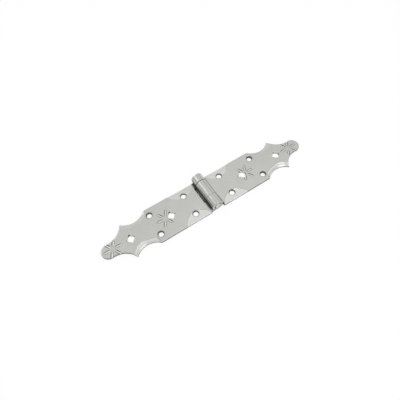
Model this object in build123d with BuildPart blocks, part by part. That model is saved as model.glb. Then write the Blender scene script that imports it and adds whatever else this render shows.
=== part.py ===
from build123d import *
from math import asin, atan2, cos, degrees, hypot, radians, sin, sqrt, tan
import os

# Decorative strap hinge of stamped sheet steel: two scalloped leaves rolled round one pin.
# Frame: origin on the surface under the barrel, +X along the right leaf, +Y along the pin,
# +Z out of the show face. The leaf backs lie on z = 0. All sizes are in millimetres.

# Sheet and leaf blank
sheet = 2.0                # thickness of the steel
leaf_width = 35.0          # across the straight part of a leaf
leaf_reach = 105.0         # barrel axis to the tip of a leaf
plain_length = 57.4        # barrel axis to the first cusp
scallop_chord = 22.9       # first cusp to second cusp
scallop_radius = 15.6      # hollow between the two cusps
neck_radius = 17.4         # hollow that runs from the second cusp into the round tip
tip_radius = 6.55          # round tip
edge_break = 0.3           # bevelled edge of the show face

# Barrel
barrel_radius = 5.4        # outside of the rolled knuckles
pin_radius = 3.35
running_clearance = 0.07   # round the pin, in the knuckle that turns on it
knuckle_gap = 0.3          # between neighbouring knuckles
high_knuckle = 6.4         # length of the left leaf's knuckle on the +Y side
low_knuckle = 10.8         # length of the left leaf's knuckle on the -Y side
low_setback = 1.0          # the lower knuckle stops this far short of the leaf's edge
root_gap = 1.5             # between a knuckle and the cut edge of the other leaf
seam_gap = 0.3             # between the end of the roll and the leaf's face
head_radius = 5.4          # low head of the pin, beyond the upper knuckle
head_height = 1.5
head_bevel = 0.5
pin_chamfer = 0.6

# Screw holes, in a rectangle on each leaf
hole_radius = 2.6
rim_radius = 3.1           # rolled-in rim on the show face
hole_start = 19.4          # barrel axis to the first pair
hole_pitch_x = 35.0
hole_pitch_y = 21.0

# Diamond openings, square holes standing on a corner
diamond_side = 6.0
diamond_first = 38.2
diamond_second = 78.0

# Coined ledges that follow the scallops, in two shallow steps
ledge_width = 4.1          # scallop edge to the upper step
ledge_tread = 1.5          # scallop edge to the lower step
ledge_step = 0.3           # height of each step
ledge_run_in = 1.4         # the upper step starts this far before the first cusp
ledge_lean = 24.0          # degrees that this end leans towards the tip

# Thumb-shaped hollows beside the first pair of screw holes, sinking towards the edge
lobe_radius = 14.1
lobe_centre_x = 19.5
lobe_centre_y = 22.6
lobe_lip = 0.1             # height of the step round the hollow
lobe_bevel = 1.8           # width of the steeper band inside the step
lobe_bevel_slope = 9.5     # degrees
lobe_slope = 2.5           # degrees, beyond that band

# Chiselled six-petal stars
petals = 6
petal_start = 1.6          # star centre to the inner end of a petal
petal_end = 8.9            # star centre to the outer end of a petal
petal_width = 2.2          # across the middle of a groove
petal_depth = 0.5
star_centres = {"left": (44.1, 94.8), "right": (41.5, 92.7)}

# Worked out from the sizes above
axis_height = barrel_radius
half_width = leaf_width / 2
second_cusp = plain_length + scallop_chord
root = barrel_radius + root_gap
barrel_low = -half_width + low_setback
low_split = barrel_low + low_knuckle
high_split = half_width - high_knuckle
left_spans = [(barrel_low, low_split - knuckle_gap / 2), (high_split + knuckle_gap / 2, half_width)]
right_spans = [(low_split + knuckle_gap / 2, high_split - knuckle_gap / 2)]
seam_angle = degrees(asin((sheet + seam_gap - axis_height) / barrel_radius))
scallop_centre_x = plain_length + scallop_chord / 2
scallop_centre_y = half_width + sqrt(scallop_radius**2 - (scallop_chord / 2) ** 2)
tip_centre_x = leaf_reach - tip_radius
hole_centre_x = hole_start + hole_pitch_x / 2
wheel_radius = ((petal_end - petal_start) ** 2 / 4 + petal_depth**2) / (2 * petal_depth)


def neck_meets_tip():
    """Point where the neck's hollow runs smoothly into the round tip."""
    across = tip_centre_x - second_cusp
    span = hypot(across, half_width)
    centres = neck_radius + tip_radius
    along = (neck_radius**2 - centres**2 + span**2) / (2 * span)
    height = sqrt(neck_radius**2 - along**2)
    ux, uy = across / span, -half_width / span
    neck_x = second_cusp + along * ux - height * uy
    neck_y = half_width + along * uy + height * ux
    share = tip_radius / centres
    return tip_centre_x + share * (neck_x - tip_centre_x), share * neck_y


def leaf_plane(side, height=0.0):
    """Drawing plane of a leaf: its local +X runs from the barrel to the tip."""
    return Plane(origin=(0, 0, height), x_dir=(side, 0, 0), z_dir=(0, 0, 1))


def leaf_blank(side):
    """Plate from its cut edge at the barrel to the tip, with a bevelled front edge."""
    join_x, join_y = neck_meets_tip()
    with BuildSketch(leaf_plane(side)) as blank:
        with BuildLine():
            Line((root, 0), (root, half_width))
            Line((root, half_width), (plain_length, half_width))
            ThreePointArc(
                (plain_length, half_width),
                (scallop_centre_x, scallop_centre_y - scallop_radius),
                (second_cusp, half_width),
            )
            RadiusArc((second_cusp, half_width), (join_x, join_y), -neck_radius)
            turn = atan2(join_y, join_x - tip_centre_x) / 2
            ThreePointArc(
                (join_x, join_y),
                (tip_centre_x + tip_radius * cos(turn), tip_radius * sin(turn)),
                (leaf_reach, 0),
            )
            Line((leaf_reach, 0), (root, 0))
        make_face()
        mirror(about=leaf_plane(side).rotated((90, 0, 0)))
    extrude(blank.sketch, amount=sheet)
    front = faces().sort_by(Axis.Z)[-1]
    free_edges = front.edges().filter_by(lambda edge: abs(edge.center().X) > root + edge_break)
    chamfer(free_edges, edge_break)


def knuckle(side, low, high, bore):
    """Strip of the leaf that runs under the axis and is rolled back over it."""
    rim = (side * barrel_radius * cos(radians(seam_angle)), sheet + seam_gap)
    with BuildSketch(Plane.XZ.offset(-high)) as roll:
        with BuildLine():
            Line((0, axis_height), (0, 0))
            ThreePointArc((0, 0), (-side * barrel_radius, axis_height), (0, 2 * axis_height))
            top_turn = radians((90 + seam_angle) / 2)
            ThreePointArc(
                (0, 2 * axis_height),
                (side * barrel_radius * cos(top_turn), axis_height + barrel_radius * sin(top_turn)),
                rim,
            )
            Line(rim, (0, axis_height))
        make_face()
        with Locations((side * root / 2, sheet / 2)):
            Rectangle(root, sheet)
        with Locations((0, axis_height)):
            Circle(bore, mode=Mode.SUBTRACT)
    extrude(roll.sketch, amount=high - low)


def screw_holes(side):
    """Punched holes with a rim that is rolled in from the show face."""
    with Locations((side * hole_centre_x, 0, sheet)):
        with GridLocations(hole_pitch_x, hole_pitch_y, 2, 2):
            CounterSinkHole(hole_radius, rim_radius)


def diamonds(side):
    """Square openings on a corner, one near the screw holes and one near the tip."""
    with BuildSketch(leaf_plane(side)) as squares:
        with Locations((diamond_first, 0), (diamond_second, 0)):
            Rectangle(diamond_side, diamond_side, rotation=45)
    extrude(squares.sketch, amount=sheet, mode=Mode.SUBTRACT)


def ledges(side):
    """Two shallow steps, coined down along each scallop."""
    for band, depth in ((ledge_width, ledge_step), (ledge_tread, 2 * ledge_step)):
        radius = scallop_radius + band
        start_x = plain_length - ledge_run_in * band / ledge_width
        inner_y = scallop_centre_y - radius
        inner_x = start_x + tan(radians(ledge_lean)) * (half_width - inner_y)
        with BuildSketch(leaf_plane(side, sheet)) as step:
            with Locations((scallop_centre_x, scallop_centre_y)):
                Circle(radius)
            with BuildLine():
                Polyline(
                    (start_x, leaf_width),
                    (start_x, half_width),
                    (inner_x, inner_y),
                    (leaf_reach, inner_y),
                    (leaf_reach, leaf_width),
                    close=True,
                )
            make_face(mode=Mode.INTERSECT)
            mirror(about=leaf_plane(side).rotated((90, 0, 0)))
        extrude(step.sketch, amount=-depth, mode=Mode.SUBTRACT)


def lobes(side):
    """Round hollows that sink towards both edges beside the first screw holes."""
    inner_radius = lobe_radius - lobe_bevel
    bevel_foot = sheet - lobe_lip - lobe_bevel * tan(radians(lobe_bevel_slope))
    bottom = bevel_foot - inner_radius * tan(radians(lobe_slope))
    for edge in (-1, 1):
        centre = (side * lobe_centre_x, edge * lobe_centre_y, 0)
        with BuildSketch(Plane(origin=centre, x_dir=(1, 0, 0), z_dir=(0, -1, 0))) as hollow:
            with BuildLine():
                Polyline(
                    (0, bottom),
                    (inner_radius, bevel_foot),
                    (lobe_radius, sheet - lobe_lip),
                    (lobe_radius, 2 * sheet),
                    (0, 2 * sheet),
                    close=True,
                )
            make_face()
        revolve(hollow.sketch, axis=Axis(centre, (0, 0, 1)), mode=Mode.SUBTRACT)


def petal(centre_x, side, angle):
    """One chiselled groove: the bite of a sharp-rimmed wheel that runs along the petal."""
    turn = radians(angle)
    reach = (petal_start + petal_end) / 2
    along = (side * cos(turn), sin(turn), 0)
    bottom = (side * centre_x + reach * along[0], reach * along[1], sheet - petal_depth)
    across = (-along[1], along[0], 0)
    with BuildSketch(Plane(origin=bottom, x_dir=across, z_dir=along)) as rim:
        with BuildLine():
            Polyline((0, 0), (petal_width, 2 * petal_depth), (-petal_width, 2 * petal_depth), close=True)
        make_face()
    hub = (bottom[0], bottom[1], bottom[2] + wheel_radius)
    revolve(rim.sketch, axis=Axis(hub, across), mode=Mode.SUBTRACT)


def stars(side, centres):
    """A star beyond each diamond. Most of the first star's inner petal is lost in the diamond."""
    for centre_x in centres:
        for turn in range(petals):
            petal(centre_x, side, 360 / petals * turn)


def relief(side, name):
    """Everything punched or stamped into the show face of a leaf."""
    ledges(side)
    lobes(side)
    screw_holes(side)
    diamonds(side)
    stars(side, star_centres[name])


os.makedirs("parts", exist_ok=True)

# Left leaf: carries the two end knuckles, which grip the pin
with BuildPart() as left_leaf:
    leaf_blank(-1)
    relief(-1, "left")
    for low, high in left_spans:
        knuckle(-1, low, high, pin_radius)
left_leaf.part.label = "left_leaf"
export_step(left_leaf.part, "parts/left_leaf.step")

# Right leaf: its single middle knuckle turns on the pin
with BuildPart() as right_leaf:
    leaf_blank(1)
    relief(1, "right")
    for low, high in right_spans:
        knuckle(1, low, high, pin_radius + running_clearance)
right_leaf.part.label = "right_leaf"
export_step(right_leaf.part, "parts/right_leaf.step")

# Hinge pin: plain shank, flush with the lower knuckle, under a low bevelled head
with BuildPart() as hinge_pin:
    with BuildSketch(Plane.XY.offset(axis_height)):
        with BuildLine():
            Polyline(
                (0, barrel_low),
                (pin_radius - pin_chamfer, barrel_low),
                (pin_radius, barrel_low + pin_chamfer),
                (pin_radius, half_width),
                (head_radius, half_width),
                (head_radius, half_width + head_height - head_bevel),
                (head_radius - head_bevel, half_width + head_height),
                (0, half_width + head_height),
                close=True,
            )
        make_face()
    revolve(axis=Axis((0, 0, axis_height), (0, 1, 0)))
hinge_pin.part.label = "hinge_pin"
export_step(hinge_pin.part, "parts/hinge_pin.step")
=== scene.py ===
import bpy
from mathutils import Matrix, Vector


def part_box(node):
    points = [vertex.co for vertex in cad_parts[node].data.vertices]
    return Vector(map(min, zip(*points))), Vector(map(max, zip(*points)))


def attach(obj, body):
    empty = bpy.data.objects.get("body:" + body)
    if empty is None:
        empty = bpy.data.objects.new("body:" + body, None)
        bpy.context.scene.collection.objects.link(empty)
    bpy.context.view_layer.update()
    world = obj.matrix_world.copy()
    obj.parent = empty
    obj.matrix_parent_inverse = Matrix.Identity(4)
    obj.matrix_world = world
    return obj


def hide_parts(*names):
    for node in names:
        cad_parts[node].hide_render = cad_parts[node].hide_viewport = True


bl_info = {
    "name": "Decorative strap hinge",
    "version": (1, 0, 0),
    "blender": (4, 5, 0),
    "location": "View3D > Sidebar > Hinge",
    "description": "Stamps, rolls and plates a decorative strap hinge round its packed CAD frame",
    "category": "Object",
}

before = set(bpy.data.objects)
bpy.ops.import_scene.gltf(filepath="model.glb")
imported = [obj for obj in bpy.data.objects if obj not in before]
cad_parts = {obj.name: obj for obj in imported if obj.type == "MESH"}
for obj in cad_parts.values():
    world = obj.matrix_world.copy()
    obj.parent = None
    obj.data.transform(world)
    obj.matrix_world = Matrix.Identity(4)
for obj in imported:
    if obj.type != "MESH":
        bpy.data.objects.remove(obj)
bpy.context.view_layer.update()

import math
from types import SimpleNamespace

import bpy
import numpy as np
from bpy.props import FloatProperty, FloatVectorProperty, IntProperty, PointerProperty
from mathutils import Matrix, Vector
from mathutils.geometry import delaunay_2d_cdt

MM = 0.001
leaf_low, leaf_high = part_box("left_leaf")
pin_low, pin_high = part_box("hinge_pin")


def linear(hex_colour):
    """Scene-linear RGBA of an sRGB hex colour."""
    parts = [int(hex_colour[i:i + 2], 16) / 255 for i in (1, 3, 5)]
    return [p / 12.92 if p <= 0.04045 else ((p + 0.055) / 1.055) ** 2.4 for p in parts] + [1.0]


def length(name, description, default):
    """A size property in metres."""
    return FloatProperty(
        name=name, description=description, default=default, min=0, unit="LENGTH", precision=5
    )


def colour(name, description, default):
    """A colour property, given as an sRGB hex value."""
    return FloatVectorProperty(
        name=name, description=description, default=linear(default), size=4, min=0, max=1, subtype="COLOR"
    )


class HingeSizes(bpy.types.PropertyGroup):
    """Sizes of the hinge. Both joint gaps, the step round a hollow and the petals' width and depth are
    drawn a little off the solids' sizes, so that they show in the render as they do on the real hinge."""
    leaf_width: length("Leaf width", "Across the straight part of a leaf", leaf_high.y - leaf_low.y)
    leaf_reach: length("Leaf reach", "From the barrel's axis to the tip of a leaf", -leaf_low.x)
    sheet: length("Sheet", "Thickness of the stamped steel", 0.002)
    plain_length: length("Plain length", "From the barrel's axis to the first cusp", 0.0574)
    scallop_chord: length("Scallop chord", "From the first cusp to the second", 0.0229)
    scallop_radius: length("Scallop radius", "Hollow between the two cusps", 0.0156)
    neck_radius: length("Neck radius", "Hollow that runs into the round tip", 0.0174)
    tip_radius: length("Tip radius", "Round tip of a leaf", 0.00655)
    edge_round: length("Edge round", "Edge that the blanking die rolls over on the show face", 0.0004)
    back_round: length("Back round", "Broken edge on the back of a leaf", 0.00012)
    barrel_radius: length("Barrel radius", "Outside of the rolled knuckles", leaf_high.z / 2)
    knuckle_round: length("Knuckle round", "Softened rim of a knuckle", 0.0002)
    high_gap: length("High gap", "Between the knuckles by the pin's head", 0.0006)
    low_gap: length("Low gap", "Between the knuckles by the pin's plain end", 0.00015)
    high_knuckle: length("High knuckle", "Length of the left leaf's knuckle by the pin's head", 0.0064)
    low_knuckle: length("Low knuckle", "Length of the left leaf's long knuckle", 0.0108)
    low_setback: length("Low setback", "The long knuckle stops this far short of the leaf's edge", 0.001)
    root_gap: length("Root gap", "Between a knuckle and the cut edge of the other leaf", 0.0015)
    seam_gap: length("Seam gap", "Between the end of the roll and the leaf's face", 0.0003)
    pin_radius: length("Pin radius", "Shank of the hinge pin", 0.00335)
    head_radius: length("Head radius", "Low head of the pin", 0.0054)
    hole_radius: length("Hole radius", "Screw holes", 0.0026)
    hole_round: length("Hole round", "Rolled-in rim of a screw hole", 0.0005)
    hole_start: length("Hole start", "From the barrel's axis to the first pair of holes", 0.0194)
    hole_pitch_x: length("Hole pitch along", "Between the pairs of holes", 0.035)
    hole_pitch_y: length("Hole pitch across", "Between the holes of a pair", 0.021)
    diamond_side: length("Diamond side", "Square opening that stands on a corner", 0.006)
    diamond_first: length("First diamond", "From the barrel's axis to the first opening", 0.0382)
    diamond_second: length("Second diamond", "From the barrel's axis to the second opening", 0.078)
    ledge_width: length("Ledge width", "Scallop edge to the upper step", 0.0041)
    ledge_tread: length("Ledge tread", "Scallop edge to the lower step", 0.0015)
    ledge_step: length("Ledge step", "Height of each step", 0.0003)
    lobe_radius: length("Lobe radius", "Thumb-shaped hollow beside the first holes", 0.0141)
    lobe_centre_x: length("Lobe place along", "From the barrel's axis to the hollow's centre", 0.0195)
    lobe_centre_y: length("Lobe place across", "From the leaf's middle to the hollow's centre", 0.0226)
    lobe_lip: length("Lobe lip", "Height of the step round the hollow", 0.0002)
    lobe_bevel: length("Lobe bevel", "Width of the steeper band inside the step", 0.0018)
    petals: IntProperty(name="Petals", description="Grooves in one star", default=6, min=3)
    petal_start: length("Petal start", "From the star's centre to the inner end of a petal", 0.0016)
    petal_end: length("Petal end", "From the star's centre to the outer end of a petal", 0.0089)
    petal_width: length("Petal width", "Across the middle of a petal", 0.0024)
    petal_depth: length("Petal depth", "Deepest point of a petal below the face", 0.00055)
    left_first_star: length("Left first star", "To the star by the left leaf's first diamond", 0.0441)
    left_second_star: length("Left second star", "To the star on the left leaf's tip", 0.0948)
    right_first_star: length("Right first star", "To the star by the right leaf's first diamond", 0.0415)
    right_second_star: length("Right second star", "To the star on the right leaf's tip", 0.0927)


class HingeColours(bpy.types.PropertyGroup):
    """Tones of the plating, lighter ones painting highlights and a dark one painting shade, and of the
    floor.
    """
    zinc: colour("Zinc", "Flat fields of the plating", "#C9CAC6")
    zinc_cloud: colour("Zinc cloud", "Faint clouds in the plating", "#BFC0BB")
    # Lighter tone on the pressed facets: a painted highlight, with their polish given by lower roughness
    burnished_and_highlight: colour("Burnished", "Facets that the die has pressed and polished", "#D1D2CE")
    # Painted highlight on the floors of the petals
    petal_highlight: colour("Chiselled", "Floors of the petals, cut bright by the punch", "#E0E0DC")
    # Dark tone: dull cut walls, and painted shade in corners, grooves, hole rims, petal walls and along the
    # rolls
    sheared_and_shade: colour("Sheared", "Cut walls of the sheet, plated over a rough break", "#4A4B49")
    floor: colour("Floor", "Studio floor", "#FFFFFF")


def own_names(group):
    """Names of the properties that a group declares itself."""
    return [name for name in group.bl_rna.properties.keys() if name not in ("rna_type", "name")]


# Flat development of a leaf, in millimetres: s runs from the barrel's axis to the tip, t across

LEDGE_RUN_IN = 1.4         # the upper step starts this far before the first cusp
LEDGE_LEAN = math.radians(24)  # and its start leans away from the barrel on its way in from the edge
LEDGE_FALL = 0.08          # treads fall by this much for each millimetre towards the scallop
LOBE_FALL = math.tan(math.radians(2.5))        # a hollow sinks this steeply towards the leaf's edge,
LOBE_BEVEL_FALL = math.tan(math.radians(9.5))  # and this steeply just inside its step
RISER = 0.45               # width of a pressed step
LIP = 0.36                 # width of the small step round a hollow
PETAL_RIM = 0.12           # a petal's painted highlight and shade reach full strength once it is this far below the face
PETAL_FULLNESS = 3.0       # 2 gives a petal the outline of a lens, more makes its sides straighter
PETAL_ENDS = 0.7           # under 1, its floor drops quickly at both ends
PETAL_WALLS = 3.4          # 2 gives it a round bottom, more a flatter one between steep walls
PETAL_FLANK = (0.38, 0.58)  # painted highlight on the floor gives way to painted shade on the wall here, between its middle (0) and rim (1)

# Rows of points in the blank, in millimetres and degrees
LINE_STEP, ARC_STEP, FINE_STEP = 0.5, 0.4, 0.3
GRID = 1.0                 # spacing of the loose points
PAST_EDGE = 0.5            # lines on the face run this far over its edge before they are trimmed
OFF_EDGE = 0.62            # loose points keep this far from every edge,
OFF_LINE = 0.3             # this far from the lines and from each other,
OFF_STRIP = 0.7            # and this far from the sides of a strip
OFF_RING = 0.015           # rows of a rounded edge keep this far from the lines
ROLL_TURN = 3.0            # degrees of the roll between two rows
ROW_SLACK = 0.97           # a rounded edge's rows stop where another edge is nearer than this share
EDGE_ROWS = (18, 36, 54, 72, 90)
LOBE_ROWS = (0, 0.2 * LIP, 0.8 * LIP, LIP, 0.9, 1.7, 2.6)
PETAL_ROWS = (25, 13)      # along a petal and across it

# Dullness of cut walls and painted shade, from 0 to 1, where 1 is the dark tone of a cut wall
EDGE_DULL_AND_SHADE = 0.85       # outline of a leaf: dull cut wall, darkened further as painted shade
# Painted shade on the walls and rims of the screw holes
HOLE_SHADE = 1.0
DIAMOND_DULLNESS = 0.0     # the diamonds' walls stay as bright as the face
EDGE_SPREAD = 0.55         # a wall's dark tone spreads as painted shade over this share of its rounded rim
HOLE_SPREAD = 1.05         # and as painted shade over the whole rolled-in rim of a screw hole
SPREAD_FADE = 0.35         # share of the rim over which it fades out
KNUCKLE_END_DULLNESS = 0.2  # share of it that is left on the cut ends of a knuckle
ROOT_SHADE = 0.95       # painted shade deep in the corner between a roll and its leaf
ROOT_SPILL = 0.4           # this painted shade reaches this far past the root gap
ROOT_SIDE = 1.3            # and ends this far past the sides of the strip
ROOT_FADE = 3.5            # it fades out over this length at the barrel's lower end
SEAM_START, SEAM_RISE = 235, 28  # degrees of the roll where painted shade starts again, over the seam, and grows
FLANK_START, FLANK_RISE, FLANK_END, FLANK_FALL = 30, 20, 128, 40  # band of painted shade on the roll's far side
FLANK_SHADE = 0.85


def in_mm(group):
    """The group's sizes as plain numbers in millimetres, counts left as they are."""
    values = {name: getattr(group, name) for name in own_names(group)}
    return SimpleNamespace(**{n: v if isinstance(v, int) else v / MM for n, v in values.items()})


def along_line(start, end, step):
    """Points from start towards end, the end left out."""
    start, end = np.array(start, float), np.array(end, float)
    count = max(1, math.ceil(np.linalg.norm(end - start) / step - 1e-6))
    return start + (end - start) * (np.arange(count) / count)[:, None]


def along_arc(centre, radius, start, end, step=ARC_STEP):
    """Points on an arc between two angles in degrees, the end left out."""
    count = max(3, math.ceil(abs(math.radians(end - start)) * radius / step))
    turn = np.radians(np.linspace(start, end, count, endpoint=False))
    return np.column_stack((centre[0] + radius * np.cos(turn), centre[1] + radius * np.sin(turn)))


def angle_to(centre, point):
    """Degrees from the s direction to a point, seen from a centre."""
    return math.degrees(math.atan2(point[1] - centre[1], point[0] - centre[0]))


def scallop_centre(mm):
    """Centre of the hollow between the cusps, on the +t side."""
    reach = math.sqrt(mm.scallop_radius**2 - (mm.scallop_chord / 2) ** 2)
    return mm.plain_length + mm.scallop_chord / 2, mm.leaf_width / 2 + reach


def roll_length(mm):
    """Length of strip that a knuckle takes, and the rows of points along it."""
    seam = math.asin((mm.sheet + mm.seam_gap - mm.barrel_radius) / mm.barrel_radius)
    sweep = 1.5 * math.pi - seam
    rows = round(math.degrees(sweep) / ROLL_TURN)
    return (mm.barrel_radius - mm.sheet / 2) * sweep, rows


def leaf_outline(mm, spans):
    """Outline of the blank, counter-clockwise from the tip, with a strip for each knuckle."""
    half, root = mm.leaf_width / 2, mm.barrel_radius + mm.root_gap
    first, second = (mm.plain_length, half), (mm.plain_length + mm.scallop_chord, half)
    tip = (mm.leaf_reach - mm.tip_radius, 0.0)
    run = np.subtract(tip, second)
    span, centres = np.linalg.norm(run), mm.neck_radius + mm.tip_radius
    unit = run / span
    along = (mm.neck_radius**2 - centres**2 + span**2) / (2 * span)
    height = math.sqrt(mm.neck_radius**2 - along**2)
    neck = (second[0] + along * unit[0] - height * unit[1], half + along * unit[1] + height * unit[0])
    join = angle_to(tip, neck)
    scallop = scallop_centre(mm)
    upper = np.vstack((
        along_arc(tip, mm.tip_radius, 0, join),
        along_arc(neck, mm.neck_radius, join + 180, angle_to(neck, second) + 360),
        along_arc(scallop, mm.scallop_radius, angle_to(scallop, second), angle_to(scallop, first)),
        along_line(first, (root, half), LINE_STEP),
    ))
    length_, rows = roll_length(mm)
    barrel, at = [], half
    for low, high in sorted(spans, reverse=True):
        barrel += [
            along_line((root, at), (root, high), LINE_STEP) if at > high else np.empty((0, 2)),
            along_line((root, high), (0, high), LINE_STEP),
            along_line((0, high), (-length_, high), length_ / rows),
            along_line((-length_, high), (-length_, low), LINE_STEP),
            along_line((-length_, low), (0, low), length_ / rows),
            along_line((0, low), (root, low), LINE_STEP),
        ]
        at = low
    barrel.append(along_line((root, at), (root, -half), LINE_STEP))
    lower = np.vstack(([[root, half]], upper[::-1][:-1])) * (1, -1)
    return np.vstack([upper] + barrel + [lower])


def openings(mm):
    """Screw holes and diamonds, clockwise, each with its rim's radius, dullness and spread."""
    loops = []
    for s in (mm.hole_start, mm.hole_start + mm.hole_pitch_x):
        for t in (-mm.hole_pitch_y / 2, mm.hole_pitch_y / 2):
            hole = along_arc((s, t), mm.hole_radius, 360, 0, FINE_STEP)
            loops.append((hole, mm.hole_round, HOLE_SHADE, HOLE_SPREAD))
    reach = mm.diamond_side / math.sqrt(2)
    for s in (mm.diamond_first, mm.diamond_second):
        corners = [(s + reach, 0), (s, -reach), (s - reach, 0), (s, reach), (s + reach, 0)]
        sides = [along_line(a, b, ARC_STEP) for a, b in zip(corners, corners[1:])]
        loops.append((np.vstack(sides), mm.edge_round / 2, DIAMOND_DULLNESS, EDGE_SPREAD))
    return loops


def away_from(points, loop):
    """Distance of each point from a closed outline."""
    batch = 2000
    start, step = loop, np.roll(loop, -1, 0) - loop
    weight = (step**2).sum(1)
    result = np.empty(len(points))
    for at in range(0, len(points), batch):
        offset = points[at:at + batch, None] - start
        share = np.clip((offset * step).sum(2) / weight, 0, 1)
        result[at:at + batch] = np.sqrt(((offset - share[..., None] * step) ** 2).sum(2).min(1))
    return result


def is_inside(points, loops):
    """Whether each point is in the metal, by the even-odd rule."""
    odd = np.zeros(len(points), bool)
    for loop in loops:
        ends = np.roll(loop, -1, 0)
        for (x0, y0), (x1, y1) in zip(loop, ends):
            if y0 != y1:
                crosses = (points[:, 1] > min(y0, y1)) & (points[:, 1] <= max(y0, y1))
                odd ^= crosses & (points[:, 0] < x0 + (points[:, 1] - y0) * (x1 - x0) / (y1 - y0))
    return odd


def inner_rings(loop, radius):
    """Rows of points inside an outline, closer together towards the edge, for its rounding."""
    step = np.roll(loop, -1, 0) - loop
    normal = np.column_stack((-step[:, 1], step[:, 0])) / np.linalg.norm(step, axis=1)[:, None]
    before = np.roll(normal, 1, 0)
    mitre = (normal + before) / (1 + (normal * before).sum(1))[:, None]
    rows = [radius * (1 - math.cos(math.radians(a))) for a in EDGE_ROWS]
    rings = [loop + mitre * row for row in rows]
    return np.vstack([ring[away_from(ring, loop) > ROW_SLACK * row] for ring, row in zip(rings, rows)])


def ledge_lines(mm):
    """Top and foot of both pressed steps along one scallop, as lines of points."""
    centre, half = scallop_centre(mm), mm.leaf_width / 2
    angles = np.radians(np.linspace(-175, -5, 400))
    lines = []
    for band in (mm.ledge_width, mm.ledge_tread):
        for inset in (0, RISER):
            radius = mm.scallop_radius + band - inset
            start = mm.plain_length - LEDGE_RUN_IN * band / mm.ledge_width + inset / math.cos(LEDGE_LEAN)
            ring = np.array(centre) + radius * np.column_stack((np.cos(angles), np.sin(angles)))
            past = ring[:, 0] > start + math.tan(LEDGE_LEAN) * (half - ring[:, 1])
            ring = ring[past & (ring[:, 1] < half + PAST_EDGE)]
            top = (start - PAST_EDGE * math.tan(LEDGE_LEAN), half + PAST_EDGE)
            lines.append(np.vstack((along_line(top, ring[0], FINE_STEP), ring[::3], ring[-1:])))
    return lines


def lobe_lines(mm):
    """Rings of points round one thumb-shaped hollow, closer together at its rim."""
    centre = (mm.lobe_centre_x, mm.lobe_centre_y)
    return [along_arc(centre, mm.lobe_radius - inset, 190, 350, LINE_STEP) for inset in LOBE_ROWS]


def petal_points(mm, star):
    """Outline and inner rows of every petal of a star, as points and lines between them."""
    middle, reach = (mm.petal_start + mm.petal_end) / 2, (mm.petal_end - mm.petal_start) / 2
    rows, columns = PETAL_ROWS
    u = np.sin(np.linspace(-math.pi / 2, math.pi / 2, rows))
    side = mm.petal_width / 2 * (1 - np.abs(u) ** PETAL_FULLNESS)
    lines, loose = [], []
    for petal in range(mm.petals):
        turn = 2 * math.pi * petal / mm.petals
        spin = np.array(((math.cos(turn), math.sin(turn)), (-math.sin(turn), math.cos(turn))))
        for share in np.linspace(-1, 1, columns):
            row = np.column_stack((middle + u * reach, share * side)) @ spin + (star, 0)
            (lines if abs(share) == 1 else loose).append(row if abs(share) == 1 else row[1:-1])
    return lines, np.vstack(loose)


def ramp(values):
    """Values held between 0 and 1."""
    return np.clip(values, 0, 1)


def pressed(mm, points):
    """How far the die has pressed each point of the show face down."""
    s, t = points[:, 0], np.abs(points[:, 1])
    half, centre = mm.leaf_width / 2, scallop_centre(mm)
    radius = np.hypot(s - centre[0], t - centre[1])
    ledge = np.zeros(len(points))
    for band in (mm.ledge_width, mm.ledge_tread):
        outer = mm.scallop_radius + band
        start = mm.plain_length - LEDGE_RUN_IN * band / mm.ledge_width
        beyond = (s - start) * math.cos(LEDGE_LEAN) - (half - t) * math.sin(LEDGE_LEAN)
        inside = np.minimum(ramp((outer - radius) / RISER), ramp(beyond / RISER))
        fall = LEDGE_FALL * np.maximum(outer - radius, 0) if band == mm.ledge_width else 0
        ledge += inside * (mm.ledge_step + fall)
    inset = np.maximum(mm.lobe_radius - np.hypot(s - mm.lobe_centre_x, t - mm.lobe_centre_y), 0)
    bevel = (LOBE_BEVEL_FALL - LOBE_FALL) * mm.lobe_bevel * (1 - np.exp(-inset / mm.lobe_bevel))
    return ledge + ramp(inset / LIP) * mm.lobe_lip + LOBE_FALL * inset + bevel


def rounding(distance, radius):
    """Drop of a rounded edge at a distance from the wall."""
    near = np.clip(radius - distance, 0, radius)
    return radius - np.sqrt(np.maximum(radius**2 - near**2, 0))


def without(points, taken, gap):
    """The points that keep a gap from those taken already."""
    cells = {}
    for p in taken:
        cells.setdefault((int(p[0] // gap), int(p[1] // gap)), []).append(p)
    kept = []
    for p in points:
        i, j = int(p[0] // gap), int(p[1] // gap)
        near = (q for a in (-1, 0, 1) for b in (-1, 0, 1) for q in cells.get((i + a, j + b), ()))
        if all((p[0] - q[0]) ** 2 + (p[1] - q[1]) ** 2 > gap**2 for q in near):
            kept.append(p)
    return np.array(kept).reshape(-1, 2)


def loose_points(mm, spans, outlines):
    """Points that fill the flat fields and the strips, clear of every edge."""
    length_, rows = roll_length(mm)
    half = mm.leaf_width / 2
    grids = [np.meshgrid(np.arange(GRID / 2, mm.leaf_reach, GRID), np.arange(-half, half, GRID))]
    for low, high in spans:
        across = np.linspace(low + OFF_STRIP, high - OFF_STRIP, round(high - low))
        grids.append(np.meshgrid(-np.arange(rows) * length_ / rows, across))
    field = np.vstack([np.column_stack((s.ravel(), t.ravel())) for s, t in grids])
    field = field[is_inside(field, outlines)]
    return field[np.min([away_from(field, loop) for loop in outlines], axis=0) > OFF_EDGE]


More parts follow.
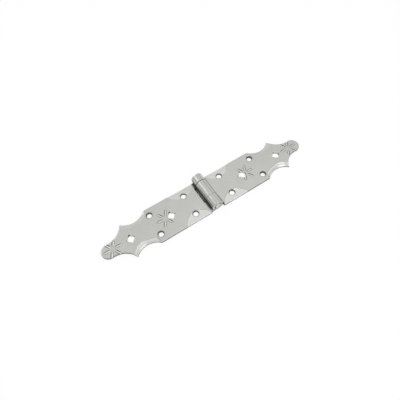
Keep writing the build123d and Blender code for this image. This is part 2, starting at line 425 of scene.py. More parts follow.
def blank_plan(mm, spans, stars):
    """Triangulates the blank: its points and triangles, and its loops as openings() gives them."""
    loops = [(leaf_outline(mm, spans), mm.edge_round, EDGE_DULL_AND_SHADE, EDGE_SPREAD)] + openings(mm)
    outlines = [loop for loop, *_ in loops]
    points, edges = [], []

    def take(row, closed):
        first = sum(map(len, points))
        points.append(row)
        edges.extend((first + i, first + i + 1) for i in range(len(row) - 1))
        if closed:
            edges.append((first + len(row) - 1, first))

    for outline in outlines:
        take(outline, True)
    rings = np.vstack([inner_rings(loop, radius) for loop, radius, *_ in loops])
    lines = []
    for line in ledge_lines(mm) + lobe_lines(mm):
        lines += [line, line * (1, -1)]
    inner = []
    for star in stars:
        petals, rows = petal_points(mm, star)
        lines += petals
        inner.append(rows)
    for line in lines:
        keep = is_inside(line, outlines)
        for run in np.split(line, np.flatnonzero(np.diff(keep)) + 1):
            if len(run) > 1 and is_inside(run[:1], outlines)[0]:
                take(run, False)
    fixed = np.vstack(points)
    inner = np.vstack(inner)
    taken = np.vstack((fixed, without(rings, fixed, OFF_RING), inner[is_inside(inner, outlines)]))
    everything = np.vstack((taken, without(loose_points(mm, spans, outlines), taken, OFF_LINE)))
    corners, _, faces, *_ = delaunay_2d_cdt([Vector(p) for p in everything], edges, [], 0, 1e-6)
    corners = np.array([tuple(c) for c in corners])
    faces = np.array(faces)
    faces = faces[is_inside(corners[faces].mean(1), outlines)]
    if not len(faces):
        raise RuntimeError("the outline of the blank encloses no metal")
    used, faces = np.unique(faces, return_inverse=True)
    return corners[used], faces.reshape(-1, 3), loops


def dull_plating_and_shade(mm, plan, edges, loops, spans, walled):
    """How dark the plating is painted at each point, on the show face and on the back: dull cut walls, and
    painted shade on their rims, in the corners by the rolls and along the rolls.
    """
    radii, level, spread = (np.array([[loop[i]] for loop in loops]) for i in (1, 2, 3))
    s, t = plan[:, 0], plan[:, 1]
    # Dull cut walls, with painted shade spread over their rounded rims
    cut = (ramp((spread - edges / radii) / SPREAD_FADE) * level).max(0)
    cut *= 1 - (1 - KNUCKLE_END_DULLNESS) * ramp(1 - s / mm.barrel_radius)
    # Painted shade deep in the corner between each roll and its leaf, fading out at the barrel's lower end
    beside = np.max([
        ramp(ROOT_SIDE - np.abs(t - (low + high) / 2) + (high - low) / 2) for low, high in spans
    ], axis=0)
    fade = ramp((t - min(low for low, _ in spans)) / ROOT_FADE)
    root = ramp(mm.barrel_radius + mm.root_gap + ROOT_SPILL - s) * beside * (s > 0) * fade
    # Painted shade over the seam and in a band on the roll's far side
    bend = np.degrees(-s / (mm.barrel_radius - mm.sheet / 2))
    flank = ramp((bend - FLANK_START) / FLANK_RISE) * ramp((FLANK_END - bend) / FLANK_FALL)
    under = np.maximum(ramp((bend - SEAM_START) / SEAM_RISE) * fade, flank * FLANK_SHADE)
    return np.maximum(cut, ROOT_SHADE * root), np.maximum(cut * walled, ROOT_SHADE * under)


def leaf_blank(name, mm, side, spans, stars):
    """Stamped blank of one leaf, still flat where the knuckles will be rolled."""
    plan, faces, loops = blank_plan(mm, spans, stars)
    count = len(plan)
    depth = pressed(mm, plan)
    edges = np.array([away_from(plan, loop) for loop, *_ in loops])
    edge = edges.min(0)
    rim = rounding(edges, np.array([[radius] for _, radius, *_ in loops])).max(0)
    on_roll = ramp(1 - plan[:, 0] / mm.barrel_radius)
    back = rounding(edge, mm.back_round) * (1 - on_roll) + rounding(edge, mm.knuckle_round) * on_roll
    front = np.column_stack((side * plan[:, 0], plan[:, 1], mm.sheet - depth - rim))
    rear = np.column_stack((side * plan[:, 0], plan[:, 1], back))
    pairs = np.vstack((faces[:, [0, 1]], faces[:, [1, 2]], faces[:, [2, 0]]))
    code = pairs[:, 0].astype(np.int64) * count + pairs[:, 1]
    border = pairs[~np.isin(pairs[:, 1].astype(np.int64) * count + pairs[:, 0], code)]
    walls = np.column_stack((border[:, 0] + count, border[:, 1] + count, border[:, 1], border[:, 0]))
    polygons = faces.tolist() + (faces[:, ::-1] + count).tolist() + walls.tolist()
    if side < 0:
        polygons = [p[::-1] for p in polygons]
    mesh = bpy.data.meshes.new(name)
    mesh.from_pydata((np.vstack((front, rear)) * MM).tolist(), [], polygons)
    walled = np.isin(np.arange(count), border)
    for label, values in (
        # The pressed facets' lighter tone is a painted highlight; the walls' dark tone marks dull cut walls
        # and painted shade
        ("show_face", np.repeat((1.0, 0.0), count)),
        ("burnished_and_highlight", np.concatenate((ramp(depth / mm.lobe_lip), np.zeros(count)))),
        ("along_roll", np.tile(np.maximum(-plan[:, 0], 0), 2)),
        ("sheared_and_shade", np.concatenate(dull_plating_and_shade(mm, plan, edges, loops, spans, walled))),
    ):
        mesh.attributes.new(label, "FLOAT", "POINT").data.foreach_set("value", values.astype(np.float32))
    leaf = bpy.data.objects.new(name, mesh)
    bpy.context.scene.collection.objects.link(leaf)
    return leaf


# Geometry Nodes that finish a blank

def add(tree, kind, inputs=None, **settings):
    """Adds a node with its settings; each input is a value, a socket, or a node for its first output."""
    node = tree.nodes.new(kind)
    for key, value in settings.items():
        setattr(node, key, value)
    for key, value in (inputs or {}).items():
        if isinstance(value, bpy.types.Node):
            value = value.outputs[0]
        if isinstance(value, bpy.types.NodeSocket):
            tree.links.new(value, node.inputs[key])
        else:
            node.inputs[key].default_value = value
    return node


def emptied(block):
    """The node tree of a new material or world, with nothing in it."""
    block.use_nodes = True
    block.node_tree.nodes.clear()
    return block.node_tree


def press_tree():
    """Nodes that punch the star petals into a blank and roll its strips into knuckles."""
    tree = bpy.data.node_groups.new("Punch stars and roll knuckles", "GeometryNodeTree")
    tree.interface.new_socket("Geometry", in_out="INPUT", socket_type="NodeSocketGeometry")
    for name, kind in (
        ("Side", "Float"), ("Sheet", "Float"), ("Barrel Radius", "Float"), ("Petals", "Int"),
        ("Petal Start", "Float"), ("Petal End", "Float"), ("Petal Width", "Float"), ("Petal Depth", "Float"),
        ("First Star", "Float"), ("Second Star", "Float"), ("Material", "Material"),
    ):
        tree.interface.new_socket(name, in_out="INPUT", socket_type="NodeSocket" + kind)
    tree.interface.new_socket("Geometry", in_out="OUTPUT", socket_type="NodeSocketGeometry")
    given = add(tree, "NodeGroupInput").outputs
    start, end = given["Petal Start"], given["Petal End"]
    first, last = given["First Star"], given["Second Star"]

    # Punch for one petal: a long bowl with pointed ends and steep sides, bent from a square grid
    grid = add(tree, "GeometryNodeMeshGrid", {
        "Size X": 2.0, "Size Y": 2.0, "Vertices X": 65, "Vertices Y": 33,
    })
    at = add(tree, "ShaderNodeSeparateXYZ", {0: add(tree, "GeometryNodeInputPosition")}).outputs
    along = add(tree, "ShaderNodeMath", {0: at[0]}, operation="ABSOLUTE")
    across = add(tree, "ShaderNodeMath", {0: at[1]}, operation="ABSOLUTE")
    along = add(tree, "ShaderNodeMath", {0: along, 1: PETAL_FULLNESS}, operation="POWER")
    full = add(tree, "ShaderNodeMath", {0: 1.0, 1: along}, operation="SUBTRACT")
    ends = add(tree, "ShaderNodeMath", {0: full, 1: PETAL_ENDS}, operation="POWER")
    walls = add(tree, "ShaderNodeMath", {0: across, 1: PETAL_WALLS}, operation="POWER")
    bowl = add(tree, "ShaderNodeMath", {0: 1.0, 1: walls}, operation="SUBTRACT")
    dip = add(tree, "ShaderNodeMath", {0: given["Petal Depth"], 1: ends}, operation="MULTIPLY")
    dip = add(tree, "ShaderNodeMath", {0: dip, 1: bowl}, operation="MULTIPLY")
    span = add(tree, "ShaderNodeMath", {0: end, 1: start}, operation="SUBTRACT")
    both = add(tree, "ShaderNodeMath", {0: end, 1: start}, operation="ADD")
    reach, middle, side, half_sheet = (
        add(tree, "ShaderNodeMath", {0: whole, 1: 0.5}, operation="MULTIPLY")
        for whole in (span, both, given["Petal Width"], given["Sheet"])
    )
    share = add(tree, "ShaderNodeMath", {0: at[1], 1: full}, operation="MULTIPLY")
    shape = add(tree, "ShaderNodeCombineXYZ", {
        0: add(tree, "ShaderNodeMath", {0: at[0], 1: reach, 2: middle}, operation="MULTIPLY_ADD"),
        1: add(tree, "ShaderNodeMath", {0: share, 1: side}, operation="MULTIPLY"),
        2: add(tree, "ShaderNodeMath", {0: given["Sheet"], 1: dip}, operation="SUBTRACT"),
    })
    marked = add(tree, "GeometryNodeStoreNamedAttribute", {
        "Geometry": grid, "Name": "flank", "Value": across,
    }, data_type="FLOAT", domain="POINT")
    punch = add(tree, "GeometryNodeSetPosition", {"Geometry": marked, "Position": shape})

    # Two stars of punches on the leaf's middle line
    index = add(tree, "GeometryNodeInputIndex")
    before = add(tree, "ShaderNodeMath", {0: given["Petals"], 1: 0.5}, operation="SUBTRACT")
    second = add(tree, "ShaderNodeMath", {0: index, 1: before}, operation="GREATER_THAN")
    star = add(tree, "ShaderNodeMath", {0: last, 1: first}, operation="SUBTRACT")
    star = add(tree, "ShaderNodeMath", {0: second, 1: star, 2: first}, operation="MULTIPLY_ADD")
    star = add(tree, "ShaderNodeMath", {0: star, 1: given["Side"]}, operation="MULTIPLY")
    marks = add(tree, "GeometryNodePoints", {
        "Count": add(tree, "ShaderNodeMath", {0: given["Petals"], 1: 2.0}, operation="MULTIPLY"),
        "Position": add(tree, "ShaderNodeCombineXYZ", {0: star}),
    })
    turn = add(tree, "ShaderNodeMath", {0: 2 * math.pi, 1: given["Petals"]}, operation="DIVIDE")
    turn = add(tree, "ShaderNodeMath", {0: index, 1: turn}, operation="MULTIPLY")
    punches = add(tree, "GeometryNodeInstanceOnPoints", {
        "Points": marks, "Instance": punch, "Rotation": add(tree, "ShaderNodeCombineXYZ", {2: turn}),
    })
    tool = add(tree, "GeometryNodeRealizeInstances", {"Geometry": punches})

    # The show face gives way to the punches
    place = add(tree, "ShaderNodeSeparateXYZ", {0: add(tree, "GeometryNodeInputPosition")}).outputs
    hit = add(tree, "GeometryNodeRaycast", {
        "Target Geometry": tool,
        "Attribute": add(tree, "GeometryNodeInputNamedAttribute", {"Name": "flank"}, data_type="FLOAT"),
        "Source Position": add(tree, "ShaderNodeCombineXYZ", {0: place[0], 1: place[1]}),
        "Ray Direction": (0.0, 0.0, 1.0), "Ray Length": given["Sheet"],
    }, data_type="FLOAT").outputs
    low = add(tree, "ShaderNodeSeparateXYZ", {0: hit["Hit Position"]}).outputs[2]
    shown = add(tree, "GeometryNodeInputNamedAttribute", {"Name": "show_face"}, data_type="FLOAT")
    lower = add(tree, "ShaderNodeMath", {0: low, 1: place[2]}, operation="LESS_THAN")
    under = add(tree, "ShaderNodeMath", {0: hit["Is Hit"], 1: shown}, operation="MULTIPLY")
    under = add(tree, "ShaderNodeMath", {0: under, 1: lower}, operation="MULTIPLY")
    # Painted shade on a petal's steep walls and painted highlight on its floor, full once it is sunk below
    # the face
    flank = add(tree, "ShaderNodeMapRange", {
        "Value": hit["Attribute"], "From Min": PETAL_FLANK[0], "From Max": PETAL_FLANK[1],
    })
    floor = add(tree, "ShaderNodeMath", {0: 1.0, 1: flank}, operation="SUBTRACT")
    sunk = add(tree, "ShaderNodeMath", {0: place[2], 1: low}, operation="SUBTRACT")
    sunk = add(tree, "ShaderNodeMapRange", {"Value": sunk, "From Max": PETAL_RIM * MM})
    bitten = given["Geometry"]
    for label, share in (("sheared_and_shade", flank), ("petal_highlight", floor)):
        bitten = add(tree, "GeometryNodeStoreNamedAttribute", {
            "Geometry": bitten, "Selection": under, "Name": label,
            "Value": add(tree, "ShaderNodeMath", {0: share, 1: sunk}, operation="MULTIPLY"),
        }, data_type="FLOAT", domain="POINT")
    stamped = add(tree, "GeometryNodeSetPosition", {
        "Geometry": bitten, "Selection": under,
        "Position": add(tree, "ShaderNodeCombineXYZ", {0: place[0], 1: place[1], 2: low}),
    })

    # Strips behind the axis roll under it and back over
    rolled_at = add(tree, "ShaderNodeMath", {0: place[0], 1: given["Side"]}, operation="MULTIPLY")
    neutral = add(tree, "ShaderNodeMath", {0: given["Barrel Radius"], 1: half_sheet}, operation="SUBTRACT")
    strip = add(tree, "ShaderNodeMath", {0: rolled_at, 1: -1.0}, operation="MULTIPLY")
    bend = add(tree, "ShaderNodeMath", {0: strip, 1: neutral}, operation="DIVIDE")
    radius = add(tree, "ShaderNodeMath", {0: given["Barrel Radius"], 1: place[2]}, operation="SUBTRACT")
    sine = add(tree, "ShaderNodeMath", {0: bend}, operation="SINE")
    cosine = add(tree, "ShaderNodeMath", {0: bend}, operation="COSINE")
    back = add(tree, "ShaderNodeMath", {0: radius, 1: sine}, operation="MULTIPLY")
    back = add(tree, "ShaderNodeMath", {0: back, 1: given["Side"]}, operation="MULTIPLY")
    drop = add(tree, "ShaderNodeMath", {0: radius, 1: cosine}, operation="MULTIPLY")
    rolled = add(tree, "GeometryNodeSetPosition", {
        "Geometry": stamped,
        "Selection": add(tree, "ShaderNodeMath", {0: rolled_at, 1: 0.0}, operation="LESS_THAN"),
        "Position": add(tree, "ShaderNodeCombineXYZ", {
            0: add(tree, "ShaderNodeMath", {0: back, 1: -1.0}, operation="MULTIPLY"),
            1: place[1],
            2: add(tree, "ShaderNodeMath", {0: given["Barrel Radius"], 1: drop}, operation="SUBTRACT"),
        }),
    })
    whole = add(tree, "GeometryNodeRealizeInstances", {"Geometry": rolled})
    plated = add(tree, "GeometryNodeSetMaterial", {"Geometry": whole, "Material": given["Material"]})
    add(tree, "NodeGroupOutput", {0: plated})
    return tree


SHARP_TURN = math.radians(32)


def shade(mesh):
    """Shades a mesh smooth, apart from edges where it turns by more than a pressed step does."""
    mesh.shade_smooth()
    mesh.set_sharp_from_angle(angle=SHARP_TURN)


def finish(piece, tree, values):
    """Runs a node tree on a piece and leaves its result as a plain mesh."""
    modifier = piece.modifiers.new("Finish", "NODES")
    modifier.node_group = tree
    for item in tree.interface.items_tree:
        if item.in_out == "INPUT" and item.name in values:
            modifier[item.identifier] = values[item.name]
    graph = bpy.context.evaluated_depsgraph_get()
    mesh = bpy.data.meshes.new_from_object(piece.evaluated_get(graph), depsgraph=graph)
    if not mesh.polygons:
        raise RuntimeError(f"the node tree left no faces on {piece.name}")
    piece.modifiers.clear()
    piece.data = mesh
    shade(mesh)


# Patterns in the plating, in millimetres. The rolling lines and the grain are about ten times finer on
# the real sheet: here they are as coarse as it takes for them to show.
CLOUDS = 11.0
ROLLING_LINES = 0.5
ROLLING_DRAW = (0.08, 1.0, 1.0)  # they are drawn out along the leaf
GRAIN, GRAIN_HEIGHT, GRAIN_STRENGTH = 0.35, 0.02, 0.15
BLOTCHES, BLOTCH_LEVELS, BLOTCH_LOW = 1.1, (0.4, 0.6), 0.82  # the strength of the dull walls and painted shade between them, as a share
FLATS, FLAT_HEIGHT = 1.6, 0.16   # width of the flats along a knuckle, and how far they stand out

SHEET_ROUGHNESS = (0.22, 0.3)    # from one rolling line to the next
BURNISHED_ROUGHNESS = -0.06      # added where the die has polished the face
SHEARED_ROUGHNESS = 0.15         # added on a cut wall and wherever shade is painted


def zinc_plating(name, colours):
    """Bright zinc on cold-rolled steel: an even light grey with a soft sheen.

    The plating keeps the faint rolling lines of the sheet, clouds a little as it dries, and is polished
    where the die has pressed it; a lighter tone there paints a highlight, and a still lighter one paints a
    highlight on the floors of the petals. A dark tone, broken into blotches, marks the dull cut walls and
    paints shade on the petals' walls, round the screw holes, in the corners by the barrel and along the
    rolls. Rolling leaves narrow flats along a knuckle, which break up its highlight.
    """
    material = bpy.data.materials.new(name)
    tree = emptied(material)
    place = add(tree, "ShaderNodeTexCoord").outputs["Object"]
    burnished_and_highlight, petal_highlight, sheared_and_shade, along = (
        add(tree, "ShaderNodeAttribute", attribute_name=label).outputs["Fac"]
        for label in ("burnished_and_highlight", "petal_highlight", "sheared_and_shade", "along_roll")
    )
    drawn = add(tree, "ShaderNodeMapping", {"Vector": place, "Scale": ROLLING_DRAW})
    clouds, lines, grain, torn = (
        add(tree, "ShaderNodeTexNoise", {"Vector": where, "Scale": 1 / (size * MM), "Detail": detail})
        for where, size, detail in (
            (place, CLOUDS, 3.0), (drawn, ROLLING_LINES, 2.0), (place, GRAIN, 2.0), (place, BLOTCHES, 3.0),
        )
    )
    flats = add(tree, "ShaderNodeTexNoise", {
        "W": along, "Scale": 1 / FLATS, "Detail": 1.0,
    }, noise_dimensions="1D")
    torn = add(tree, "ShaderNodeMapRange", {
        "Value": torn, "From Min": BLOTCH_LEVELS[0], "From Max": BLOTCH_LEVELS[1], "To Min": BLOTCH_LOW,
    })
    # Blotches break up the dull cut walls and the painted shade
    sheared_and_shade = add(tree, "ShaderNodeMath", {0: sheared_and_shade, 1: torn}, operation="MULTIPLY")
    tone = add(tree, "ShaderNodeMix", {0: clouds, 6: colours.zinc, 7: colours.zinc_cloud}, data_type="RGBA")
    # Lighter tones paint highlights on pressed facets and petal floors; the dark tone marks dull cut walls
    # and paints shade
    for share, hue in (
        (burnished_and_highlight, colours.burnished_and_highlight), (petal_highlight, colours.petal_highlight), (sheared_and_shade, colours.sheared_and_shade),
    ):
        tone = add(tree, "ShaderNodeMix", {0: share, 6: tone.outputs[2], 7: hue}, data_type="RGBA")
    low, high = SHEET_ROUGHNESS
    rough = add(tree, "ShaderNodeMapRange", {"Value": lines, "To Min": low, "To Max": high})
    for share, added in ((burnished_and_highlight, BURNISHED_ROUGHNESS), (sheared_and_shade, SHEARED_ROUGHNESS)):
        rough = add(tree, "ShaderNodeMath", {0: share, 1: added, 2: rough}, operation="MULTIPLY_ADD")
    bump = add(tree, "ShaderNodeBump", {"Strength": 1.0, "Distance": FLAT_HEIGHT * MM, "Height": flats})
    bump = add(tree, "ShaderNodeBump", {
        "Strength": GRAIN_STRENGTH, "Distance": GRAIN_HEIGHT * MM, "Height": grain, "Normal": bump,
    })
    surface = add(tree, "ShaderNodeBsdfPrincipled", {
        "Base Color": tone.outputs[2], "Metallic": 1.0, "Roughness": rough, "Normal": bump,
    })
    add(tree, "ShaderNodeOutputMaterial", {"Surface": surface})
    return material


def put_on_body(piece, body, node):
    """The piece stands for a CAD node, which it hides, and rides on its body."""
    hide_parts(node)
    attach(piece, body)


class HINGE_OT_leaves(bpy.types.Operator):
    """Stamp both leaves and roll their knuckles"""
    bl_idname = "hinge.leaves"
    bl_label = "Stamp leaves"

    def execute(self, context):
        sizes, mm = context.scene.hinge_sizes, in_mm(context.scene.hinge_sizes)
        half, high_gap, low_gap = mm.leaf_width / 2, mm.high_gap / 2, mm.low_gap / 2
        low = mm.low_setback - half
        low_split, high_split = low + mm.low_knuckle, half - mm.high_knuckle
        material = zinc_plating("Bright zinc plated sheet", context.scene.hinge_colours)
        tree = press_tree()
        for name, side, spans, stars in (
            ("left", -1, [(low, low_split - low_gap), (high_split + high_gap, half)],
             (sizes.left_first_star, sizes.left_second_star)),
            ("right", 1, [(low_split + low_gap, high_split - high_gap)],
             (sizes.right_first_star, sizes.right_second_star)),
        ):
            leaf = leaf_blank(f"{name}_leaf_stamped", mm, side, spans, [s / MM for s in stars])
            finish(leaf, tree, {
                "Side": float(side), "Sheet": sizes.sheet, "Barrel Radius": sizes.barrel_radius,
                "Petals": sizes.petals, "Petal Start": sizes.petal_start, "Petal End": sizes.petal_end,
                "Petal Width": sizes.petal_width, "Petal Depth": sizes.petal_depth,
                "First Star": stars[0], "Second Star": stars[1], "Material": material,
            })
            put_on_body(leaf, name, f"{name}_leaf")
        return {"FINISHED"}


# Turned shape of the pin, in millimetres
PIN_SIDES = 128
END_FACE = ((0.04, 0.0), (0.02, 1.2), (0.0, 2.2))  # depth and radius: the plain end is a little hollow
END_ROUND, END_STEP = 0.25, 0.5    # its round edge, and how much thinner than the shank it is there
GROOVE = ((1.1, 0.1), (1.3, 0.0))  # place from that end and depth, where the groove round it runs out
GROOVE_ZONE, GROOVE_SLACK = 2.0, 0.01  # shade is painted this near to that end, and from just inside the step
NECK = 0.2                         # last row of points before the head
HEAD_BREAK, HEAD_ROUND = 0.15, 0.45  # broken edge under the head, and round edge over it
HEAD_DOME, DOME_INSET, DOME_ROWS = 0.05, 0.8, 8  # rise of its face, and where the rows over it start


def pin_profile(mm):
    """Places along the pin and radii there, from the middle of its plain end to that of its head."""
    low, high, shoulder = pin_low.y / MM, pin_high.y / MM, mm.leaf_width / 2
    shank, head = mm.pin_radius, mm.head_radius
    quarter = [(math.sin(a), 1 - math.cos(a)) for a in np.radians(np.linspace(0, 90, 7))]
    profile = [(low + depth, radius) for depth, radius in END_FACE]
    profile += [(low + END_ROUND * (1 - a), shank - END_STEP - END_ROUND * b) for a, b in quarter[::-1]]
    profile += [(low + along, shank - depth) for along, depth in GROOVE]
    profile += [(shoulder - NECK, shank), (shoulder, shank)]
    profile += [(shoulder, head - HEAD_BREAK), (shoulder + HEAD_BREAK, head)]
    profile += [(high - HEAD_DOME + HEAD_ROUND * (a - 1), head - HEAD_ROUND * b) for a, b in quarter]
    crown = head - HEAD_ROUND
    inner = np.linspace(head - DOME_INSET, 0, DOME_ROWS)
    return profile + [(high - HEAD_DOME * (r / crown) ** 2, r) for r in inner]


class HINGE_OT_pin(bpy.types.Operator):
    """Turn the hinge pin with its low head"""
    bl_idname = "hinge.pin"
    bl_label = "Turn pin"

    def execute(self, context):
        mm = in_mm(context.scene.hinge_sizes)
        profile = pin_profile(mm)
        turn = np.linspace(0, 2 * math.pi, PIN_SIDES, endpoint=False)
        points, faces = [(0, profile[0][0], mm.barrel_radius)], []
        for y, r in profile[1:-1]:
            points += [(r * math.sin(a), y, mm.barrel_radius + r * math.cos(a)) for a in turn]
        points.append((0, profile[-1][0], mm.barrel_radius))
        for ring in range(len(profile) - 2):
            for i in range(PIN_SIDES):
                a, b = 1 + ring * PIN_SIDES + i, 1 + ring * PIN_SIDES + (i + 1) % PIN_SIDES
                if ring == 0:
                    faces.append((0, b, a))
                if ring == len(profile) - 3:
                    faces.append((len(points) - 1, a, b))
                else:
                    faces.append((a, b, b + PIN_SIDES, a + PIN_SIDES))
        points = np.array(points)
        mesh = bpy.data.meshes.new("hinge_pin_turned")
        mesh.from_pydata((points * MM).tolist(), [], faces)
        # Painted shade round the plain end, over its step and groove
        out = np.hypot(points[:, 0], points[:, 2] - mm.barrel_radius)
        by_end = points[:, 1] < profile[0][0] + GROOVE_ZONE
        groove = by_end & (out > mm.pin_radius - END_STEP - GROOVE_SLACK)
        mesh.attributes.new("sheared_and_shade", "FLOAT", "POINT").data.foreach_set("value", groove.astype(np.float32))
        shade(mesh)
        mesh.materials.append(zinc_plating("Bright zinc plated pin", context.scene.hinge_colours))
        pin = bpy.data.objects.new("hinge_pin_turned", mesh)
        context.scene.collection.objects.link(pin)
        put_on_body(pin, "left", "hinge_pin")
        return {"FINISHED"}


# Camera of the photograph: degrees, and metres from the hinge's middle
CAMERA_AZIMUTH, CAMERA_ELEVATION, CAMERA_ROLL = -30.03, 60.42, -3.40
CAMERA_DISTANCE, CAMERA_RIGHT, CAMERA_UP = 0.3035, -0.00698, -0.00439
CAMERA_LENS = 30.2         # millimetres on a 36 mm sensor

# Lamps: azimuth and elevation in degrees, width and height in metres, and watts
LAMP_DISTANCE = 1.0
LAMPS = {
    "front": (20, 55, 0.5, 0.5, 1.8),
    "back": (163, 43, 0.5, 0.3, 0.15),
    "back left": (212, 46, 0.5, 0.3, 0.7),
}

# Studio tent: bright overhead and in a band lower down, dim between them, dark near the floor.
# Each stop is a height, leant over to the right, and the level of light there.
SKY_LEAN = (0.3, 0.0, 1.0)
SKY = ((-0.2, 0.0), (0.1, 0.42), (0.4, 1.1), (0.7, 0.52), (1.0, 1.09))
HORIZON = (0.14, 0.26)     # heights between which the paper behind the floor gives way to the tent

# Floor: paper white in the open, with a dark contact shadow where the hinge covers it
FLOOR_HALF = 1.5           # metres from the hinge to each side
FLOOR_DROP = 0.05 * MM     # below the backs of the leaves
COVER_REACH = 6 * MM       # what stands nearer than this covers the floor
BARREL_ZONE = (7.5 * MM, 9 * MM)  # from the barrel's axis, where the first level gives way to the second
COVERED = (0.43, 0.38)     # the floor is dark where it is less open than this, under the barrel and outside
COVER_FADE = 0.07
GLOW = 0.88                # share of the floor's white that doesn't depend on the lamps


def direction(azimuth, elevation):
    """Unit vector in degrees: azimuth 0 is in front of the hinge, 90 to its right."""
    a, e = math.radians(azimuth), math.radians(elevation)
    return Vector((math.sin(a) * math.cos(e), -math.cos(a) * math.cos(e), math.sin(e)))


def camera_axes():
    """Right, up and back directions of the camera."""
    a, roll = math.radians(CAMERA_AZIMUTH), math.radians(CAMERA_ROLL)
    back = direction(CAMERA_AZIMUTH, CAMERA_ELEVATION)
    level = Vector((math.cos(a), math.sin(a), 0))
    upright = back.cross(level)
    right = math.cos(roll) * level + math.sin(roll) * upright
    return right, math.cos(roll) * upright - math.sin(roll) * level, back


def soft_lamp(name, azimuth, elevation, width, height, watts):
    """Rectangular studio lamp that faces the hinge."""
    towards = direction(azimuth, elevation)
    light = bpy.data.lights.new(name, "AREA")
    light.shape, light.size, light.size_y, light.energy = "RECTANGLE", width, height, watts
    lamp = bpy.data.objects.new(name, light)
    turn = towards.to_track_quat("Z", "Y").to_matrix().to_4x4()
    lamp.matrix_world = Matrix.Translation(towards * LAMP_DISTANCE) @ turn
    bpy.context.scene.collection.objects.link(lamp)


def backdrop_rays(tree):
    """1 for the rays that show the plain background: the camera's, and those by way of metal or glass."""
    path = add(tree, "ShaderNodeLightPath").outputs
    seen = path["Is Camera Ray"]
    for kind in ("Is Glossy Ray", "Is Transmission Ray"):
        seen = add(tree, "ShaderNodeMath", {0: seen, 1: path[kind]}, operation="MAXIMUM")
    return seen


def paper_sweep(paper):
    """Matt white paper: an even white in the open, with a painted soft contact shadow in its glow where the
    hinge stands on it, darker under the barrel.
    """
    material = bpy.data.materials.new("White paper sweep")
    tree = emptied(material)
    spot = add(tree, "ShaderNodeSeparateXYZ", {0: add(tree, "ShaderNodeTexCoord").outputs["Object"]})
    spot = add(tree, "ShaderNodeMath", {0: spot}, operation="ABSOLUTE")
    dark = add(tree, "ShaderNodeMapRange", {
        "Value": spot, "From Min": BARREL_ZONE[0], "From Max": BARREL_ZONE[1],
        "To Min": COVERED[0], "To Max": COVERED[1],
    })
    clear = add(tree, "ShaderNodeMath", {0: dark, 1: COVER_FADE}, operation="ADD")
    sky = add(tree, "ShaderNodeAmbientOcclusion", {"Distance": COVER_REACH}, samples=16).outputs["AO"]
    white = add(tree, "ShaderNodeMapRange", {"Value": sky, "From Min": dark, "From Max": clear})
    glow = add(tree, "ShaderNodeEmission", {"Color": paper, "Strength": white})
    matt = add(tree, "ShaderNodeBsdfDiffuse", {"Color": paper})
    lit = add(tree, "ShaderNodeMixShader", {0: GLOW, 1: matt, 2: glow})
    either = add(tree, "ShaderNodeMixShader", {0: backdrop_rays(tree), 1: matt, 2: lit})
    add(tree, "ShaderNodeOutputMaterial", {"Surface": either})
    return material


def studio_tent(paper):
    """World that lights the hinge as a studio tent, with white paper behind the floor."""
    world = bpy.data.worlds.new("Studio")
    tree = emptied(world)
    towards = add(tree, "ShaderNodeTexCoord").outputs["Generated"]
    lean = add(tree, "ShaderNodeVectorMath", {0: towards, 1: SKY_LEAN}, operation="DOT_PRODUCT")
    lean = lean.outputs["Value"]
    low, high = SKY[0][0], SKY[-1][0]
    rise = add(tree, "ShaderNodeMapRange", {"Value": lean, "From Min": low, "From Max": high})
    levels = add(tree, "ShaderNodeValToRGB", {0: rise})
    stops = levels.color_ramp.elements
    for stop, (_, level) in zip((stops[0], stops[1]), (SKY[0], SKY[-1])):
        stop.color = (level,) * 3 + (1,)
    for height, level in SKY[1:-1]:
        stops.new((height - low) / (high - low)).color = (level,) * 3 + (1,)
    height = add(tree, "ShaderNodeSeparateXYZ", {0: towards}).outputs[2]
    near = add(tree, "ShaderNodeMapRange", {"Value": height, "From Min": HORIZON[1], "From Max": HORIZON[0]})
    seen = add(tree, "ShaderNodeMath", {0: backdrop_rays(tree), 1: near}, operation="MULTIPLY")
    shown = add(tree, "ShaderNodeMix", {0: seen, 6: levels, 7: paper}, data_type="RGBA")
    sky = add(tree, "ShaderNodeBackground", {"Color": shown.outputs[2], "Strength": 1.0})
    add(tree, "ShaderNodeOutputWorld", {"Surface": sky})
    return world


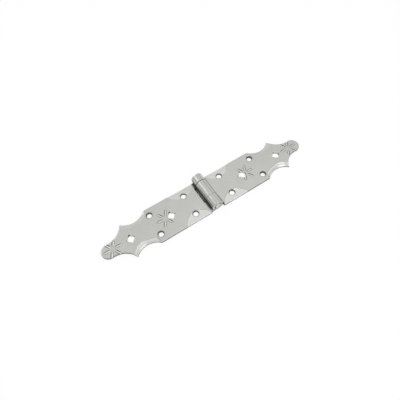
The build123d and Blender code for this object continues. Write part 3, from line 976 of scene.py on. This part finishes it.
class HINGE_OT_stage(bpy.types.Operator):
    """Set up the floor, the lamps and the camera"""
    bl_idname = "hinge.stage"
    bl_label = "Set the stage"

    def execute(self, context):
        scene = context.scene
        scene.view_settings.view_transform = "Standard"
        paper = scene.hinge_colours.floor
        mesh = bpy.data.meshes.new("floor")
        half = FLOOR_HALF
        corners = ((-half, -half), (half, -half), (half, half), (-half, half))
        mesh.from_pydata([(x, y, -FLOOR_DROP) for x, y in corners], [], [(0, 1, 2, 3)])
        mesh.materials.append(paper_sweep(paper))
        floor = bpy.data.objects.new("floor", mesh)
        scene.collection.objects.link(floor)
        scene.world = studio_tent(paper)
        for name, settings in LAMPS.items():
            soft_lamp(name, *settings)

        right, up, back = camera_axes()
        data = bpy.data.cameras.new("camera")
        data.sensor_width, data.lens = 36, CAMERA_LENS
        camera = bpy.data.objects.new("camera", data)
        place = back * CAMERA_DISTANCE + right * CAMERA_RIGHT + up * CAMERA_UP
        turn = Matrix((right, up, back)).transposed().to_4x4()
        camera.matrix_world = Matrix.Translation(place) @ turn
        scene.collection.objects.link(camera)
        scene.camera = camera
        return {"FINISHED"}


class HINGE_PT_panel(bpy.types.Panel):
    """Buttons for the pieces and the stage, and the sizes and colours that they take"""
    bl_label = "Decorative hinge"
    bl_idname = "HINGE_PT_panel"
    bl_space_type = "VIEW_3D"
    bl_region_type = "UI"
    bl_category = "Hinge"

    def draw(self, context):
        for operator in (HINGE_OT_leaves, HINGE_OT_pin, HINGE_OT_stage):
            self.layout.operator(operator.bl_idname)
        for group in (context.scene.hinge_sizes, context.scene.hinge_colours):
            for name in own_names(group):
                self.layout.prop(group, name)


classes = (HingeSizes, HingeColours, HINGE_OT_leaves, HINGE_OT_pin, HINGE_OT_stage, HINGE_PT_panel)


def register():
    for cls in classes:
        bpy.utils.register_class(cls)
    bpy.types.Scene.hinge_sizes = PointerProperty(type=HingeSizes)
    bpy.types.Scene.hinge_colours = PointerProperty(type=HingeColours)


def unregister():
    del bpy.types.Scene.hinge_colours
    del bpy.types.Scene.hinge_sizes
    for cls in reversed(classes):
        bpy.utils.unregister_class(cls)


def main():
    register()
    bpy.ops.hinge.leaves()
    bpy.ops.hinge.pin()
    bpy.ops.hinge.stage()


if __name__ == "__main__":
    main()
